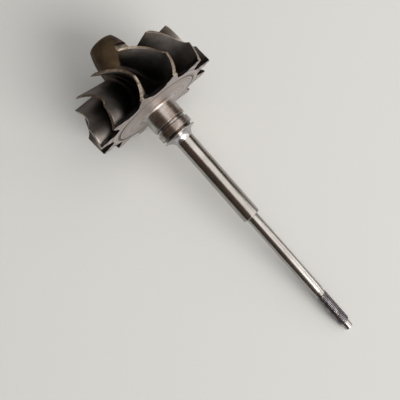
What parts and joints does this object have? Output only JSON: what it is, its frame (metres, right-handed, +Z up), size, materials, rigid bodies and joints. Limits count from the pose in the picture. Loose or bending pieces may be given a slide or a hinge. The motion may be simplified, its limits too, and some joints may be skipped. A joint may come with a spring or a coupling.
{
  "type": "turbocharger shaft and wheel",
  "caption": "Turbine rotor of a turbocharger: a cast wheel with curved blades on a scalloped disc, welded to a stepped ground shaft with a threaded end.",
  "frame": {"origin": "on the floor, under the middle of the part's box as it lies", "axes": "+Z up; +X level, heading from the wheel to the threaded end; the rotor's own axis leans down from +X to the floor by 12.1 degrees"},
  "size_m": [0.2292, 0.0852, 0.0853],
  "materials": {
    "cast_alloy": "as cast, dark and dull",
    "machined_alloy": "turned, fine rings",
    "ground_steel": "ground and polished",
    "thread_steel": "rolled thread, dark"
  },
  "bodies": {
    "root": {"hub_nose": "cast_alloy", "wheel_hub": "cast_alloy", "back_disc": "machined_alloy", "blade_01": "cast_alloy", "blade_02": "cast_alloy", "blade_03": "cast_alloy", "blade_04": "cast_alloy", "blade_05": "cast_alloy", "blade_06": "cast_alloy", "blade_07": "cast_alloy", "blade_08": "cast_alloy", "blade_09": "cast_alloy", "blade_10": "cast_alloy", "blade_11": "cast_alloy", "blade_12": "cast_alloy", "weld_boss": "ground_steel", "relief_neck": "ground_steel", "ring_collar": "ground_steel", "shoulder_cone": "ground_steel", "bearing_journal": "ground_steel", "compressor_stub": "ground_steel", "thread_neck": "ground_steel", "nut_thread": "thread_steel", "shaft_point": "ground_steel"}
  },
  "joints": []
}
